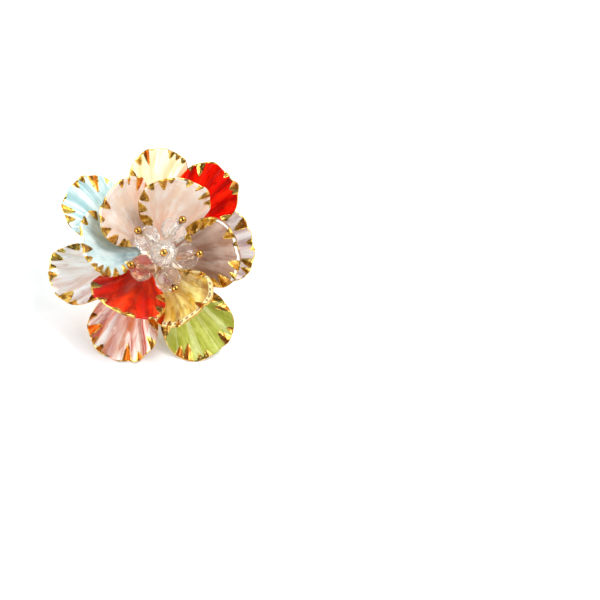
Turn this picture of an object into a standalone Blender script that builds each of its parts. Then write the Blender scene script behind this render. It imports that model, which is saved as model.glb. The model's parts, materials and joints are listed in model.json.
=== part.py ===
"""Flower stud earring: thirteen enamelled petals in two tiers, six faceted beads on ball-end pins,
a domed base, and a back plate with its ear post.

The flower is modelled in its own frame: origin on the flat back of the dome, +Z out of the face.
It is then laid on the floor as it comes to rest, on the post's tip and the petals of one side.
"""
import math
from typing import NamedTuple

import bmesh
import bpy
import numpy as np
from mathutils import Matrix, Vector

# Petals, in metres
PETAL_LENGTH = 0.017
PETAL_WIDTH = 0.014
PETAL_THICK = 0.0006
ROOT_THICK_SHARE = 1.2
RIM_THICK_SHARE = 0.8
FAN_HALF_ANGLE = 45.0
SHOULDER_DROP = 0.60
SHOULDER_POWER = 2.8
NECK_SHARE = 0.08
PLEATS = 6
PLEAT_HEIGHT = 0.00025
PLEAT_POWER = 1.4
SCALLOP_SHARE = 0.018
TUCK_SHARE = 0.15
ROOT_INSET_SHARE = 0.3
ROWS = 6
COLUMNS_PER_PLEAT = 4
OUTLINE_SAMPLES = 401
FLATTEST_CURL = 1e-6
OUTER_ROOT_RADIUS = 0.0056
INNER_ROOT_RADIUS = 0.0029

# Base
PIECE_GAP = 0.0003
DOME_RADIUS = 0.008
DOME_RISE = 0.0036
DOME_RIM = 0.0003
DOME_RINGS = 4
PLATE_RADIUS = 0.0065
PLATE_THICK = 0.0008
POST_RADIUS = 0.00042
POST_LENGTH = 0.0105
POST_FILLET = 0.0004
POST_TIP_TAPER = 0.0007
ROUND_SIDES = 24

# Beads and their pins
BEAD_RADIUS = 0.0028
BEAD_LENGTH = 0.0042
BEAD_SIDES = 10
TABLE_SHARE = 0.50
SHOULDER_SHARE = 0.86
SHOULDER_HEIGHT_SHARE = 0.58
WIRE_RADIUS = 0.00028
BALL_RADIUS = 0.0008
BALL_RINGS = 6
PIN_SIDES = 8
PIN_KNEE = 0.0012
REST_SAMPLES_ACROSS = 61
REST_SAMPLES_ALONG = 31

# Wanted lean of the resting flower: azimuth of its low side, and tilt of its back
LOW_SIDE_AZIMUTH = -80.0
LEAN = 31.0


class Petal(NamedTuple):
    """One petal. Angles are degrees; length, width and lift are shares of the named sizes."""

    name: str
    slot: str
    tier: str
    azimuth: float
    pitch: float
    roll: float
    curl: float
    cup: float
    lift: float
    length: float
    width: float


# Lift is a share of the petal's thickness, length and width are shares of the petal's own
PETALS = (
    Petal("outer_petal_yellow", "enamel_cream", "outer", 86, 3, 8, 5, 8, 0.0, 0.99, 0.94),
    Petal("outer_petal_red", "enamel_red", "outer", 50, 6, 2, 0, 8, 1.0, 1.05, 0.94),
    Petal("outer_petal_lilac", "enamel_lilac", "outer", 10, 3, -8, 9, 8, 0.0, 0.92, 1.10),
    Petal("outer_petal_green", "enamel_green", "outer", -56, 0, 6, 3, 6, 0.0, 1.06, 1.05),
    Petal("outer_petal_coral", "enamel_coral", "outer", -113, 0, 6, 0, 6, 0.2, 1.00, 1.00),
    Petal("outer_petal_white", "enamel_white", "outer", -166, 0, 6, 0, 6, 0.0, 0.97, 0.88),
    Petal("outer_petal_blue", "enamel_blue", "outer", 142, 2, 6, 0, 6, 0.2, 0.98, 0.92),
    Petal("inner_petal_rose_right", "enamel_rose", "inner", 77, 12, 13, 38, 22, 0.6, 0.89, 1.15),
    Petal("inner_petal_rose_left", "enamel_rose", "inner", 131, 12, 15, 25, 22, 0.5, 0.89, 1.12),
    Petal("inner_petal_blue", "enamel_blue", "inner", 175, 12, 17, 32, 22, 0.0, 0.97, 1.02),
    Petal("inner_petal_red", "enamel_red", "inner", 237, 14, 17, 40, 22, 0.0, 0.91, 1.12),
    Petal("inner_petal_yellow", "enamel_yellow", "inner", 302, 14, 16, 48, 22, 0.0, 0.87, 1.00),
    Petal("inner_petal_lilac", "enamel_lilac", "inner", 7, 13, 14, 44, 22, 0.0, 0.93, 1.07),
)


class Bead(NamedTuple):
    """One bead. Angles are degrees; reach is a share of the ring's reach."""

    name: str
    azimuth: float
    reach: float
    spread: float
    swing: float


CROWN_BEAD = Bead("centre", 203, 0.08, 14, 0)
RING_BEADS = (
    Bead("right", -4, 0.96, 48, 14),
    Bead("top", 61, 1.01, 54, -6),
    Bead("upper_left", 130, 0.76, 58, 20),
    Bead("lower_left", 217, 0.88, 62, -46),
    Bead("bottom", 284, 0.96, 50, 14),
)

# Base colour, metallic, roughness and transmission of each slot
FINISHES = {
    "enamel_cream": ((0.95, 0.88, 0.55), 0.0, 0.2, 0.0),
    "enamel_red": ((0.85, 0.07, 0.02), 0.0, 0.2, 0.0),
    "enamel_lilac": ((0.70, 0.58, 0.64), 0.0, 0.2, 0.0),
    "enamel_green": ((0.55, 0.68, 0.25), 0.0, 0.2, 0.0),
    "enamel_coral": ((0.88, 0.50, 0.42), 0.0, 0.2, 0.0),
    "enamel_white": ((0.90, 0.82, 0.80), 0.0, 0.2, 0.0),
    "enamel_blue": ((0.55, 0.76, 0.80), 0.0, 0.2, 0.0),
    "enamel_rose": ((0.86, 0.66, 0.58), 0.0, 0.2, 0.0),
    "enamel_yellow": ((0.80, 0.58, 0.16), 0.0, 0.2, 0.0),
    "gold": ((0.83, 0.58, 0.20), 1.0, 0.2, 0.0),
    "crystal": ((0.95, 0.92, 0.93), 0.0, 0.02, 1.0),
}


def clear_scene():
    """Remove every object that the file starts with."""
    for item in list(bpy.data.objects):
        bpy.data.objects.remove(item, do_unlink=True)


def make_material(slot):
    """The slot's material, made once."""
    material = bpy.data.materials.get(slot)
    if material is None:
        color, metallic, roughness, transmission = FINISHES[slot]
        material = bpy.data.materials.new(slot)
        material.use_nodes = True
        shader = material.node_tree.nodes["Principled BSDF"]
        shader.inputs["Base Color"].default_value = (*color, 1.0)
        shader.inputs["Metallic"].default_value = metallic
        shader.inputs["Roughness"].default_value = roughness
        shader.inputs["Transmission Weight"].default_value = transmission
    return material


def add_solid(name, slot, points, faces):
    """Add a closed mesh object with its faces turned outward."""
    mesh = bpy.data.meshes.new(name)
    mesh.from_pydata([tuple(point) for point in points], [], faces)
    shell = bmesh.new()
    shell.from_mesh(mesh)
    bmesh.ops.triangulate(shell, faces=shell.faces[:])
    bmesh.ops.recalc_face_normals(shell, faces=shell.faces[:])
    if shell.calc_volume(signed=True) < 0:
        bmesh.ops.reverse_faces(shell, faces=shell.faces[:])
    shell.to_mesh(mesh)
    shell.free()
    mesh.materials.append(make_material(slot))
    item = bpy.data.objects.new(name, mesh)
    bpy.context.scene.collection.objects.link(item)
    return item


def turn(axis, degrees):
    """A 3x3 turn about one axis, as an array."""
    return np.array(Matrix.Rotation(math.radians(degrees), 3, axis))


def dome_height(radius):
    """Height of the dome's surface at a radius."""
    return DOME_RIM + (DOME_RISE - DOME_RIM) * (1 - (radius / DOME_RADIUS) ** 2)


def fan_outline(across):
    """Distance from the root to the rim, as a share of the length, for -1 to 1 across the fan."""
    return 1 - SHOULDER_DROP * np.abs(across) ** SHOULDER_POWER


def widest_share():
    """Half width of the plain fan outline, as a share of its length."""
    across = np.linspace(-1, 1, OUTLINE_SAMPLES)
    return float((fan_outline(across) * np.sin(math.radians(FAN_HALF_ANGLE) * across)).max())


def petal_points(petal, along, across, side):
    """Points of one face of a petal: side is 1 for the front and -1 for the back.

    The flat fan is scalloped and pleated, bent along its length by the curl, dished across its
    width by the cup (less on the tucked side), then rolled, pitched and set round the flower.
    """
    length = PETAL_LENGTH * petal.length
    width = PETAL_WIDTH * petal.width
    fan = math.radians(FAN_HALF_ANGLE) * across
    ridge = np.cos(math.pi * PLEATS * across)
    scale = NECK_SHARE + (1 - NECK_SHARE) * along
    rim = fan_outline(across) * (1 + SCALLOP_SHARE * ridge * along ** 2) * scale
    forward = length * rim * np.cos(fan)
    sideways = width / 2 * rim * np.sin(fan) / widest_share()

    curl = math.radians(petal.curl) + FLATTEST_CURL
    bend = curl * forward / length
    cup_radius = width / 2 / math.radians(petal.cup)
    dish = sideways / cup_radius
    kept = np.where(sideways < 0, TUCK_SHARE if petal.tier == "inner" else 1.0, 1.0)
    thick = PETAL_THICK * (ROOT_THICK_SHARE + (RIM_THICK_SHARE - ROOT_THICK_SHARE) * along) / 2 * side
    rise = cup_radius * (1 - np.cos(dish)) * kept
    rise = rise + PLEAT_HEIGHT * scale ** PLEAT_POWER * ridge + thick * np.cos(dish)
    x = length * np.sin(bend) / curl - np.sin(bend) * rise
    z = length * (1 - np.cos(bend)) / curl + np.cos(bend) * rise
    y = cup_radius * np.sin(dish) - thick * np.sin(dish)

    root_radius = OUTER_ROOT_RADIUS if petal.tier == "outer" else INNER_ROOT_RADIUS
    root_height = dome_height(root_radius) + PIECE_GAP + PETAL_THICK * (ROOT_THICK_SHARE / 2 + petal.lift)
    root = np.array([root_radius - NECK_SHARE * ROOT_INSET_SHARE * length, 0, root_height])
    points = np.stack([x, y, z], -1) @ (turn("Y", -petal.pitch) @ turn("X", petal.roll)).T + root
    return points @ turn("Z", petal.azimuth).T


def build_petal(petal):
    """A petal as one closed solid: front and back sheets joined round their border."""
    columns = PLEATS * COLUMNS_PER_PLEAT
    across, along = np.meshgrid(np.linspace(-1, 1, columns + 1), np.linspace(0, 1, ROWS + 1))
    sheets = [petal_points(petal, along, across, side).reshape(-1, 3) for side in (1, -1)]
    stride = columns + 1
    total = stride * (ROWS + 1)
    faces = []
    for row in range(ROWS):
        for column in range(columns):
            a = row * stride + column
            b = a + stride
            faces.append((a, a + 1, b + 1, b))
            faces.append((total + a, total + b, total + b + 1, total + a + 1))
    border = list(range(columns))
    border += [row * stride + columns for row in range(ROWS)]
    border += [ROWS * stride + column for column in range(columns, 0, -1)]
    border += [row * stride for row in range(ROWS, 0, -1)]
    for first, second in zip(border, border[1:] + border[:1]):
        faces.append((first, total + first, total + second, second))
    return add_solid(petal.name, petal.slot, np.concatenate(sheets), faces)


def build_lathe(name, slot, profile, sides):
    """A closed solid turned about Z from (radius, height) pairs; the first and last lie on the axis."""
    points = [(0, 0, profile[0][1])]
    for radius, height in profile[1:-1]:
        for index in range(sides):
            angle = 2 * math.pi * index / sides
            points.append((radius * math.cos(angle), radius * math.sin(angle), height))
    points.append((0, 0, profile[-1][1]))
    rings = len(profile) - 2
    last = len(points) - 1
    faces = []
    for index in range(sides):
        nearby = (index + 1) % sides
        faces.append((0, 1 + index, 1 + nearby))
        for ring in range(rings - 1):
            low = 1 + ring * sides
            faces.append((low + index, low + sides + index, low + sides + nearby, low + nearby))
        top = 1 + (rings - 1) * sides
        faces.append((last, top + nearby, top + index))
    return add_solid(name, slot, points, faces)


def build_dome():
    """The solid dome that carries the petals and pins."""
    profile = [(0, 0), (DOME_RADIUS, 0)]
    for ring in range(DOME_RINGS):
        radius = DOME_RADIUS * (1 - ring / DOME_RINGS)
        profile.append((radius, dome_height(radius)))
    profile.append((0, dome_height(0)))
    return build_lathe("dome", "gold", profile, ROUND_SIDES)


def build_back_plate():
    """The back plate and its ear post, soldered into one."""
    top = -PIECE_GAP
    back = top - PLATE_THICK
    tip = back - POST_LENGTH
    profile = [
        (0, top),
        (PLATE_RADIUS, top),
        (PLATE_RADIUS, back),
        (POST_RADIUS + POST_FILLET, back),
        (POST_RADIUS, back - POST_FILLET),
        (POST_RADIUS, tip + POST_TIP_TAPER),
        (POST_RADIUS / 2, tip),
        (0, tip),
    ]
    return build_lathe("back_plate_post", "gold", profile, ROUND_SIDES)


def ring_reach():
    """Distance from the flower's axis at which the two closest beads of the ring just clear."""
    azimuths = sorted(bead.azimuth % 360 for bead in RING_BEADS)
    steps = [(after - before) % 360 for before, after in zip(azimuths, azimuths[1:] + azimuths[:1])]
    return (BEAD_RADIUS + PIECE_GAP / 2) / math.sin(math.radians(min(steps)) / 2)


def bead_foot(bead):
    """Where a bead lies in plan."""
    azimuth = math.radians(bead.azimuth)
    reach = ring_reach() * bead.reach
    return np.array([reach * math.cos(azimuth), reach * math.sin(azimuth)])


def resting_height(foot, obstacles, clearance):
    """Height at which a ball let down over a foot comes within the clearance of the obstacle points."""
    away = np.linalg.norm(obstacles[:, :2] - foot, axis=1)
    below = away < clearance
    return float((obstacles[below, 2] + np.sqrt(clearance ** 2 - away[below] ** 2)).max())


def place_beads():
    """Centre and axis of each bead: the ring is let down on the petals, the crown bead on the ring."""
    steps = np.linspace(0, 1, REST_SAMPLES_ALONG)
    across, along = np.meshgrid(np.linspace(-1, 1, REST_SAMPLES_ACROSS), steps)
    inner = [petal_points(petal, along, across, 1) for petal in PETALS if petal.tier == "inner"]
    front = np.concatenate([points.reshape(-1, 3) for points in inner])
    places = {}
    for bead in RING_BEADS:
        foot = bead_foot(bead)
        places[bead] = Vector((*foot, resting_height(foot, front, BEAD_RADIUS + PIECE_GAP)))
    ring = np.array([tuple(centre) for centre in places.values()])
    foot = bead_foot(CROWN_BEAD)
    places[CROWN_BEAD] = Vector((*foot, resting_height(foot, ring, 2 * BEAD_RADIUS + PIECE_GAP)))
    return {bead: (centre, bead_axis(bead)) for bead, centre in places.items()}


def bead_axis(bead):
    """Direction in which a bead's pin leaves it."""
    heading = math.radians(bead.azimuth + bead.swing)
    spread = math.radians(bead.spread)
    outward = math.sin(spread)
    return Vector((outward * math.cos(heading), outward * math.sin(heading), math.cos(spread)))


def hole_radius():
    """Radius of a bead's faceted hole, wide enough for the wire and the gap all round it."""
    return (WIRE_RADIUS + PIECE_GAP) / math.cos(math.pi / BEAD_SIDES)


def side_directions(axis):
    """Two directions square to an axis and to each other."""
    first = axis.cross(Vector((0.0, 1.0, 0.0))).normalized()
    return first, axis.cross(first).normalized()


def build_bead(bead, centre, axis):
    """A faceted bead with flat tables and a through hole; each ring is turned half a step."""
    first, second = side_directions(axis)
    half = BEAD_LENGTH / 2
    rings = [
        (hole_radius(), -half, 0),
        (BEAD_RADIUS * TABLE_SHARE, -half, 0),
        (BEAD_RADIUS * SHOULDER_SHARE, -half * SHOULDER_HEIGHT_SHARE, 1),
        (BEAD_RADIUS, 0, 0),
        (BEAD_RADIUS * SHOULDER_SHARE, half * SHOULDER_HEIGHT_SHARE, 1),
        (BEAD_RADIUS * TABLE_SHARE, half, 0),
        (hole_radius(), half, 0),
    ]
    points = []
    for radius, level, turned in rings:
        for index in range(BEAD_SIDES):
            angle = 2 * math.pi * (index + turned / 2) / BEAD_SIDES
            spoke = first * math.cos(angle) + second * math.sin(angle)
            points.append(centre + axis * level + spoke * radius)
    faces = []
    for ring, (_, _, turned) in enumerate(rings):
        following = (ring + 1) % len(rings)
        following_turned = rings[following][2]
        for index in range(BEAD_SIDES):
            nearby = (index + 1) % BEAD_SIDES
            a, b = ring * BEAD_SIDES + index, ring * BEAD_SIDES + nearby
            c, d = following * BEAD_SIDES + index, following * BEAD_SIDES + nearby
            if turned == following_turned:
                faces.append((a, b, d, c))
            elif following_turned:
                faces.extend([(a, b, c), (b, d, c)])
            else:
                faces.extend([(a, b, d), (a, d, c)])
    return add_solid(f"bead_{bead.name}", "crystal", points, faces)


def pin_path(bead, centre, axis):
    """Centre line of a pin with its radius at each point: foot, knee, straight run, ball."""
    azimuth = math.radians(bead.azimuth)
    foot_radius = 0.0 if bead is CROWN_BEAD else 2 * (WIRE_RADIUS + PIECE_GAP)
    foot_height = dome_height(foot_radius) + PIECE_GAP + WIRE_RADIUS
    foot = Vector((foot_radius * math.cos(azimuth), foot_radius * math.sin(azimuth), foot_height))
    knee = centre - axis * (BEAD_LENGTH / 2 + PIN_KNEE)
    before = knee + (foot - knee).normalized() * PIN_KNEE / 2
    after = knee + axis * PIN_KNEE / 2
    path = [(foot, WIRE_RADIUS), (before, WIRE_RADIUS)]
    path.append(((before + after + knee * 2) / 4, WIRE_RADIUS))
    path.append((after, WIRE_RADIUS))
    seat = math.sqrt((BALL_RADIUS + PIECE_GAP) ** 2 - hole_radius() ** 2)
    ball = centre + axis * (BEAD_LENGTH / 2 + seat)
    start = math.asin(WIRE_RADIUS / BALL_RADIUS)
    for ring in range(BALL_RINGS):
        angle = start + (math.pi - start) * ring / BALL_RINGS
        path.append((ball - axis * BALL_RADIUS * math.cos(angle), BALL_RADIUS * math.sin(angle)))
    return path, ball + axis * BALL_RADIUS


def build_pin(bead, centre, axis):
    """A wire pin with a bend under its bead and a ball end above it, as one solid."""
    path, tip = pin_path(bead, centre, axis)
    route = [place for place, _ in path]
    points = [route[0]]
    for index, (place, radius) in enumerate(path):
        ahead = route[min(index + 1, len(path) - 1)]
        behind = route[max(index - 1, 0)]
        first, second = side_directions((ahead - behind).normalized())
        for side in range(PIN_SIDES):
            angle = 2 * math.pi * side / PIN_SIDES
            points.append(place + (first * math.cos(angle) + second * math.sin(angle)) * radius)
    points.append(tip)
    last = len(points) - 1
    faces = []
    for index in range(PIN_SIDES):
        nearby = (index + 1) % PIN_SIDES
        faces.append((0, 1 + index, 1 + nearby))
        for ring in range(len(path) - 1):
            low = 1 + ring * PIN_SIDES
            faces.append((low + index, low + PIN_SIDES + index, low + PIN_SIDES + nearby, low + nearby))
        top = 1 + (len(path) - 1) * PIN_SIDES
        faces.append((last, top + nearby, top + index))
    return add_solid(f"pin_{bead.name}", "gold", points, faces)


def centre_of_mass(items):
    """Mean of the faces' centres, weighted by area: thin sheets weigh with their area."""
    total, moment = 0.0, Vector((0.0, 0.0, 0.0))
    for item in items:
        for face in item.data.polygons:
            total += face.area
            moment += Vector(face.center) * face.area
    return moment / total


def resting_normal(items):
    """Outward normal of the hull face that the flower stands on, the one nearest the wanted lean."""
    hull = bmesh.new()
    for item in items:
        for vertex in item.data.vertices:
            hull.verts.new(vertex.co)
    bmesh.ops.convex_hull(hull, input=hull.verts[:])
    centre = centre_of_mass(items)
    azimuth, lean = math.radians(LOW_SIDE_AZIMUTH), math.radians(LEAN)
    level = math.sin(lean)
    wanted = Vector((level * math.cos(azimuth), level * math.sin(azimuth), -math.cos(lean)))
    best, best_score = None, -1.0
    for face in hull.faces:
        corners = [loop.vert.co for loop in face.loops]
        normal = (corners[1] - corners[0]).cross(corners[2] - corners[0]).normalized()
        if normal.dot(corners[0] - centre) < 0:
            normal.negate()
        stands = True
        for start, end in zip(corners, corners[1:] + corners[:1]):
            inward = face.calc_center_median() - start
            edge = (end - start).cross(normal)
            stands = stands and edge.dot(centre - start) * edge.dot(inward) > 0
        if stands and normal.dot(wanted) > best_score:
            best, best_score = normal.copy(), normal.dot(wanted)
    hull.free()
    return best


def lay_on_floor(items):
    """Turn every piece by the least turn that brings the resting face down, then centre the box."""
    rotation = resting_normal(items).rotation_difference(Vector((0.0, 0.0, -1.0))).to_matrix().to_4x4()
    for item in items:
        item.data.transform(rotation)
    low = Vector([min(v.co[i] for item in items for v in item.data.vertices) for i in range(3)])
    high = Vector([max(v.co[i] for item in items for v in item.data.vertices) for i in range(3)])
    shift = Matrix.Translation((-(low.x + high.x) / 2, -(low.y + high.y) / 2, -low.z))
    for item in items:
        item.data.transform(shift)
        item.data.update()
    return shift @ rotation, high - low


def main():
    """Build every piece and lay the flower down."""
    clear_scene()
    items = [build_dome(), build_back_plate()]
    items += [build_petal(petal) for petal in PETALS]
    for bead, (centre, axis) in place_beads().items():
        items += [build_bead(bead, centre, axis), build_pin(bead, centre, axis)]
    placing, size = lay_on_floor(items)
    face = placing.to_3x3() @ Vector((0.0, 0.0, 1.0))
    back = placing @ Vector((0.0, PLATE_RADIUS / 2, -PIECE_GAP - PLATE_THICK))
    print("size (mm)", [round(value * 1000, 2) for value in size])
    print("face direction", [round(value, 6) for value in face])
    print("a point of the plate's back (m)", [round(value, 7) for value in back])


main()
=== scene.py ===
"""Flower stud earring, dressed.

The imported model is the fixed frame. Each of its solids is drawn again, in place and from the same
sizes, as a finer surface: petals with crimped gilt drips and streaked pearl enamel, cut beads with
softened edges, round pins with ball ends, and a smooth gilt dome and back plate.
"""
import json
import logging
import math
from dataclasses import dataclass
from enum import Enum

import bpy
import numpy as np
from mathutils import Matrix, Vector


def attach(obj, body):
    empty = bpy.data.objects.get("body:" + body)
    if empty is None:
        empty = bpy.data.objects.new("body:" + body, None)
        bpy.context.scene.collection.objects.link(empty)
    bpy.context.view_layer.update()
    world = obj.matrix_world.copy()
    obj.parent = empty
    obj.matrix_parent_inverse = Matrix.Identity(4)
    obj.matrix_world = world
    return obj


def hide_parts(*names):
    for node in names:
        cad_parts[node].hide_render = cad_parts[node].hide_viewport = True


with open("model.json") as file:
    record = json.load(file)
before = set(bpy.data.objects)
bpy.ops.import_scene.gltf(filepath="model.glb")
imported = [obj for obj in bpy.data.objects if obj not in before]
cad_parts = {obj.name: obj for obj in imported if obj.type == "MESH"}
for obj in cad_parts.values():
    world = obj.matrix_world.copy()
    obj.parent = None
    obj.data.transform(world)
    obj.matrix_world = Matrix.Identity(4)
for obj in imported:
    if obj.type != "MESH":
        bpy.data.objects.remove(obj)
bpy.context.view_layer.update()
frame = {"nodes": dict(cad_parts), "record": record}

LOG = logging.getLogger("flower_stud")
BODY = "root"
BARELY_BENT = 1e-6
Colour = tuple[float, float, float, float]
Socket = bpy.types.NodeSocket


# Shared sizes and small helpers


@dataclass(frozen=True)
class Sizes:
    """Sizes that several pieces share, in metres and degrees: first those of the solids, then relief."""

    petal_length: float = 0.017
    petal_width: float = 0.014
    petal_thick: float = 0.0006
    root_thick_share: float = 1.2
    rim_thick_share: float = 0.8
    fan_half_angle: float = 45.0
    shoulder_drop: float = 0.60
    shoulder_power: float = 2.8
    neck_share: float = 0.08
    pleats: int = 6
    pleat_height: float = 0.00025
    pleat_power: float = 1.4
    scallop_share: float = 0.018
    tuck_share: float = 0.15
    root_inset_share: float = 0.3
    outer_root_radius: float = 0.0056
    inner_root_radius: float = 0.0029
    piece_gap: float = 0.0003
    dome_radius: float = 0.008
    dome_rise: float = 0.0036
    dome_rim: float = 0.0003
    plate_radius: float = 0.0065
    plate_thick: float = 0.0008
    rim_wave_share: float = 0.011
    ruffle_height: float = 0.00018
    crimp_height: float = 0.00028
    gilt_line: float = 0.00016
    gilt_step: float = 0.0004

    def dome_height(self, radius: float) -> float:
        """Height of the dome's surface at a radius: a flat parabola from crown to rim."""
        return self.dome_rim + (self.dome_rise - self.dome_rim) * (1 - (radius / self.dome_radius) ** 2)

    def fan_outline(self, across: np.ndarray) -> np.ndarray:
        """Distance from root to rim as a share of the length: one, less the shoulders' drop."""
        return 1 - self.shoulder_drop * np.abs(across) ** self.shoulder_power

    def widest_share(self) -> float:
        """Half width of the plain fan, as a share of its length."""
        across = np.linspace(-1, 1, 401)
        return float((self.fan_outline(across) * np.sin(math.radians(self.fan_half_angle) * across)).max())


SIZES = Sizes()


@dataclass(frozen=True)
class Placing:
    """Where the flower's own frame, with +Z out of its face, lies in the shared frame."""

    rotation: np.ndarray
    shift: np.ndarray

    @classmethod
    def from_mount(cls, mount: dict) -> "Placing":
        """Work the placing out from the ear face, which is stated in both frames.

        Args:
            mount: the record's ear face, with its point and its direction out of the back.
        Returns:
            The placing whose turn takes the flower's back to that direction by the least turn.
        """
        rotation = np.array(Vector((0, 0, -1)).rotation_difference(Vector(mount["axis"])).to_matrix())
        point = np.array([0, SIZES.plate_radius / 2, -SIZES.piece_gap - SIZES.plate_thick])
        return cls(rotation, np.array(mount["pos_m"]) - rotation @ point)

    def out(self, points: np.ndarray) -> np.ndarray:
        """Points of the flower's frame in the shared frame."""
        return points @ self.rotation.T + self.shift

    def back(self, points: np.ndarray) -> np.ndarray:
        """Points of the shared frame in the flower's frame."""
        return (points - self.shift) @ self.rotation


def turn(axis: str, degrees: float) -> np.ndarray:
    """A 3x3 turn about one axis."""
    return np.array(Matrix.Rotation(math.radians(degrees), 3, axis))


def unit(ways: np.ndarray) -> np.ndarray:
    """Directions along the last axis, made one long."""
    return ways / np.linalg.norm(ways, axis=-1, keepdims=True)


def square_to(axes: np.ndarray) -> tuple[np.ndarray, np.ndarray]:
    """Two directions square to each axis and to each other."""
    first = unit(np.cross(axes, (0.0, 1.0, 0.0)))
    return first, np.cross(axes, first)


def corner_curve(start: np.ndarray, corner: np.ndarray, stop: np.ndarray, steps: int) -> np.ndarray:
    """A quadratic curve from start to stop, drawn towards the corner between them."""
    share = np.linspace(0, 1, steps + 1)[:, None]
    return start * (1 - share) ** 2 + 2 * corner * share * (1 - share) + stop * share ** 2


def wander(place: np.ndarray, rate: float, seed: int) -> np.ndarray:
    """An uneven wave between about -1 and 1: four sines at spread-out rates and seeded phases.

    Args:
        place: where along the wave.
        rate: mean number of waves per unit of place.
        seed: picks the phases.
    Returns:
        The wave's height at each place.
    """
    phases = np.random.default_rng(seed).uniform(0, 2 * math.pi, 4)
    rates = rate * np.array([0.62, 1.0, 1.37, 1.81])
    weights = np.array([0.5, 0.8, 0.55, 0.35])
    waves = np.sin(2 * math.pi * place[..., None] * rates + phases) * weights
    return waves.sum(-1) / 1.5


def linear(red: int, green: int, blue: int) -> Colour:
    """A screen colour of 0 to 255 a channel, as the light it stands for.

    Args:
        red: the red channel.
        green: the green channel.
        blue: the blue channel.
    Returns:
        The red, green and blue light, and full opacity.
    """
    shares = [channel / 255 for channel in (red, green, blue)]
    light = [share / 12.92 if share <= 0.04045 else ((share + 0.055) / 1.055) ** 2.4 for share in shares]
    return (*light, 1.0)


def grey(light: float) -> Colour:
    """A grey of a stated light."""
    return (light, light, light, 1.0)


def add_mesh(name: str, points: np.ndarray, quads: np.ndarray, triangles: np.ndarray | None = None,
             smooth: bool = True) -> bpy.types.Object:
    """Make a mesh object from whole arrays.

    Args:
        name: the object's and mesh's name.
        points: vertices, one row each, in the shared frame.
        quads: four vertex numbers a face.
        triangles: three vertex numbers a face, for poles and caps.
        smooth: whether the faces are shaded as one surface.
    Returns:
        The object, linked to the scene.
    """
    triangles = np.zeros((0, 3), int) if triangles is None else triangles
    corners = np.concatenate([quads.ravel(), triangles.ravel()]).astype(np.int32)
    starts = np.concatenate([np.arange(len(quads)) * 4, len(quads) * 4 + np.arange(len(triangles)) * 3])
    mesh = bpy.data.meshes.new(name)
    mesh.vertices.add(len(points))
    mesh.vertices.foreach_set("co", points.astype(np.float32).ravel())
    mesh.loops.add(len(corners))
    mesh.loops.foreach_set("vertex_index", corners)
    mesh.polygons.add(len(starts))
    mesh.polygons.foreach_set("loop_start", starts.astype(np.int32))
    mesh.polygons.foreach_set("use_smooth", np.full(len(starts), smooth))
    mesh.update(calc_edges=True)
    mesh.validate()
    item = bpy.data.objects.new(name, mesh)
    bpy.context.scene.collection.objects.link(item)
    return item


def add_tube(name: str, rings: np.ndarray, ends: np.ndarray) -> bpy.types.Object:
    """Join rings of points into a skin that closes on one point at each end.

    Args:
        name: the object's name.
        rings: the rings' points in the shared frame, as many in each ring.
        ends: the two end points.
    Returns:
        The object.
    """
    count, sides = rings.shape[:2]
    order = np.arange(count * sides).reshape(count, sides)
    after = np.roll(order, -1, 1)
    quads = np.stack([order[:-1], after[:-1], after[1:], order[1:]], -1).reshape(-1, 4)
    start = np.full(sides, order.size)
    caps = np.concatenate([np.stack([start, after[0], order[0]], 1),
                           np.stack([start + 1, order[-1], after[-1]], 1)])
    return add_mesh(name, np.concatenate([rings.reshape(-1, 3), ends]), quads, caps)


def add_uv(item: bpy.types.Object, name: str, chart: np.ndarray) -> None:
    """Give a mesh a UV map that is stated per vertex.

    Args:
        item: the mesh's object.
        name: the map's name.
        chart: one place on the map per vertex.
    """
    corners = np.zeros(len(item.data.loops), np.int32)
    item.data.loops.foreach_get("vertex_index", corners)
    item.data.uv_layers.new(name=name).data.foreach_set("uv", chart[corners].astype(np.float32).ravel())


def add_attribute(item: bpy.types.Object, name: str, *values: np.ndarray) -> None:
    """Give a mesh one number per vertex under a name that its material reads."""
    layer = item.data.attributes.new(name, "FLOAT", "POINT")
    layer.data.foreach_set("value", np.concatenate(values).astype(np.float32))


def settle(item: bpy.types.Object, node: str, material: bpy.types.Material) -> None:
    """Dress a piece, put it on the body in place of its solid, and report it.

    Args:
        item: the piece, already in place.
        node: the solid that it stands for.
        material: its finish.
    """
    item.data.materials.append(material)
    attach(item, BODY)
    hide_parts(node)
    count = sum(len(face.vertices) - 2 for face in item.data.polygons)
    LOG.info("%s stands for %s, %d triangles", item.name, node, count)


# Finishes


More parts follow.
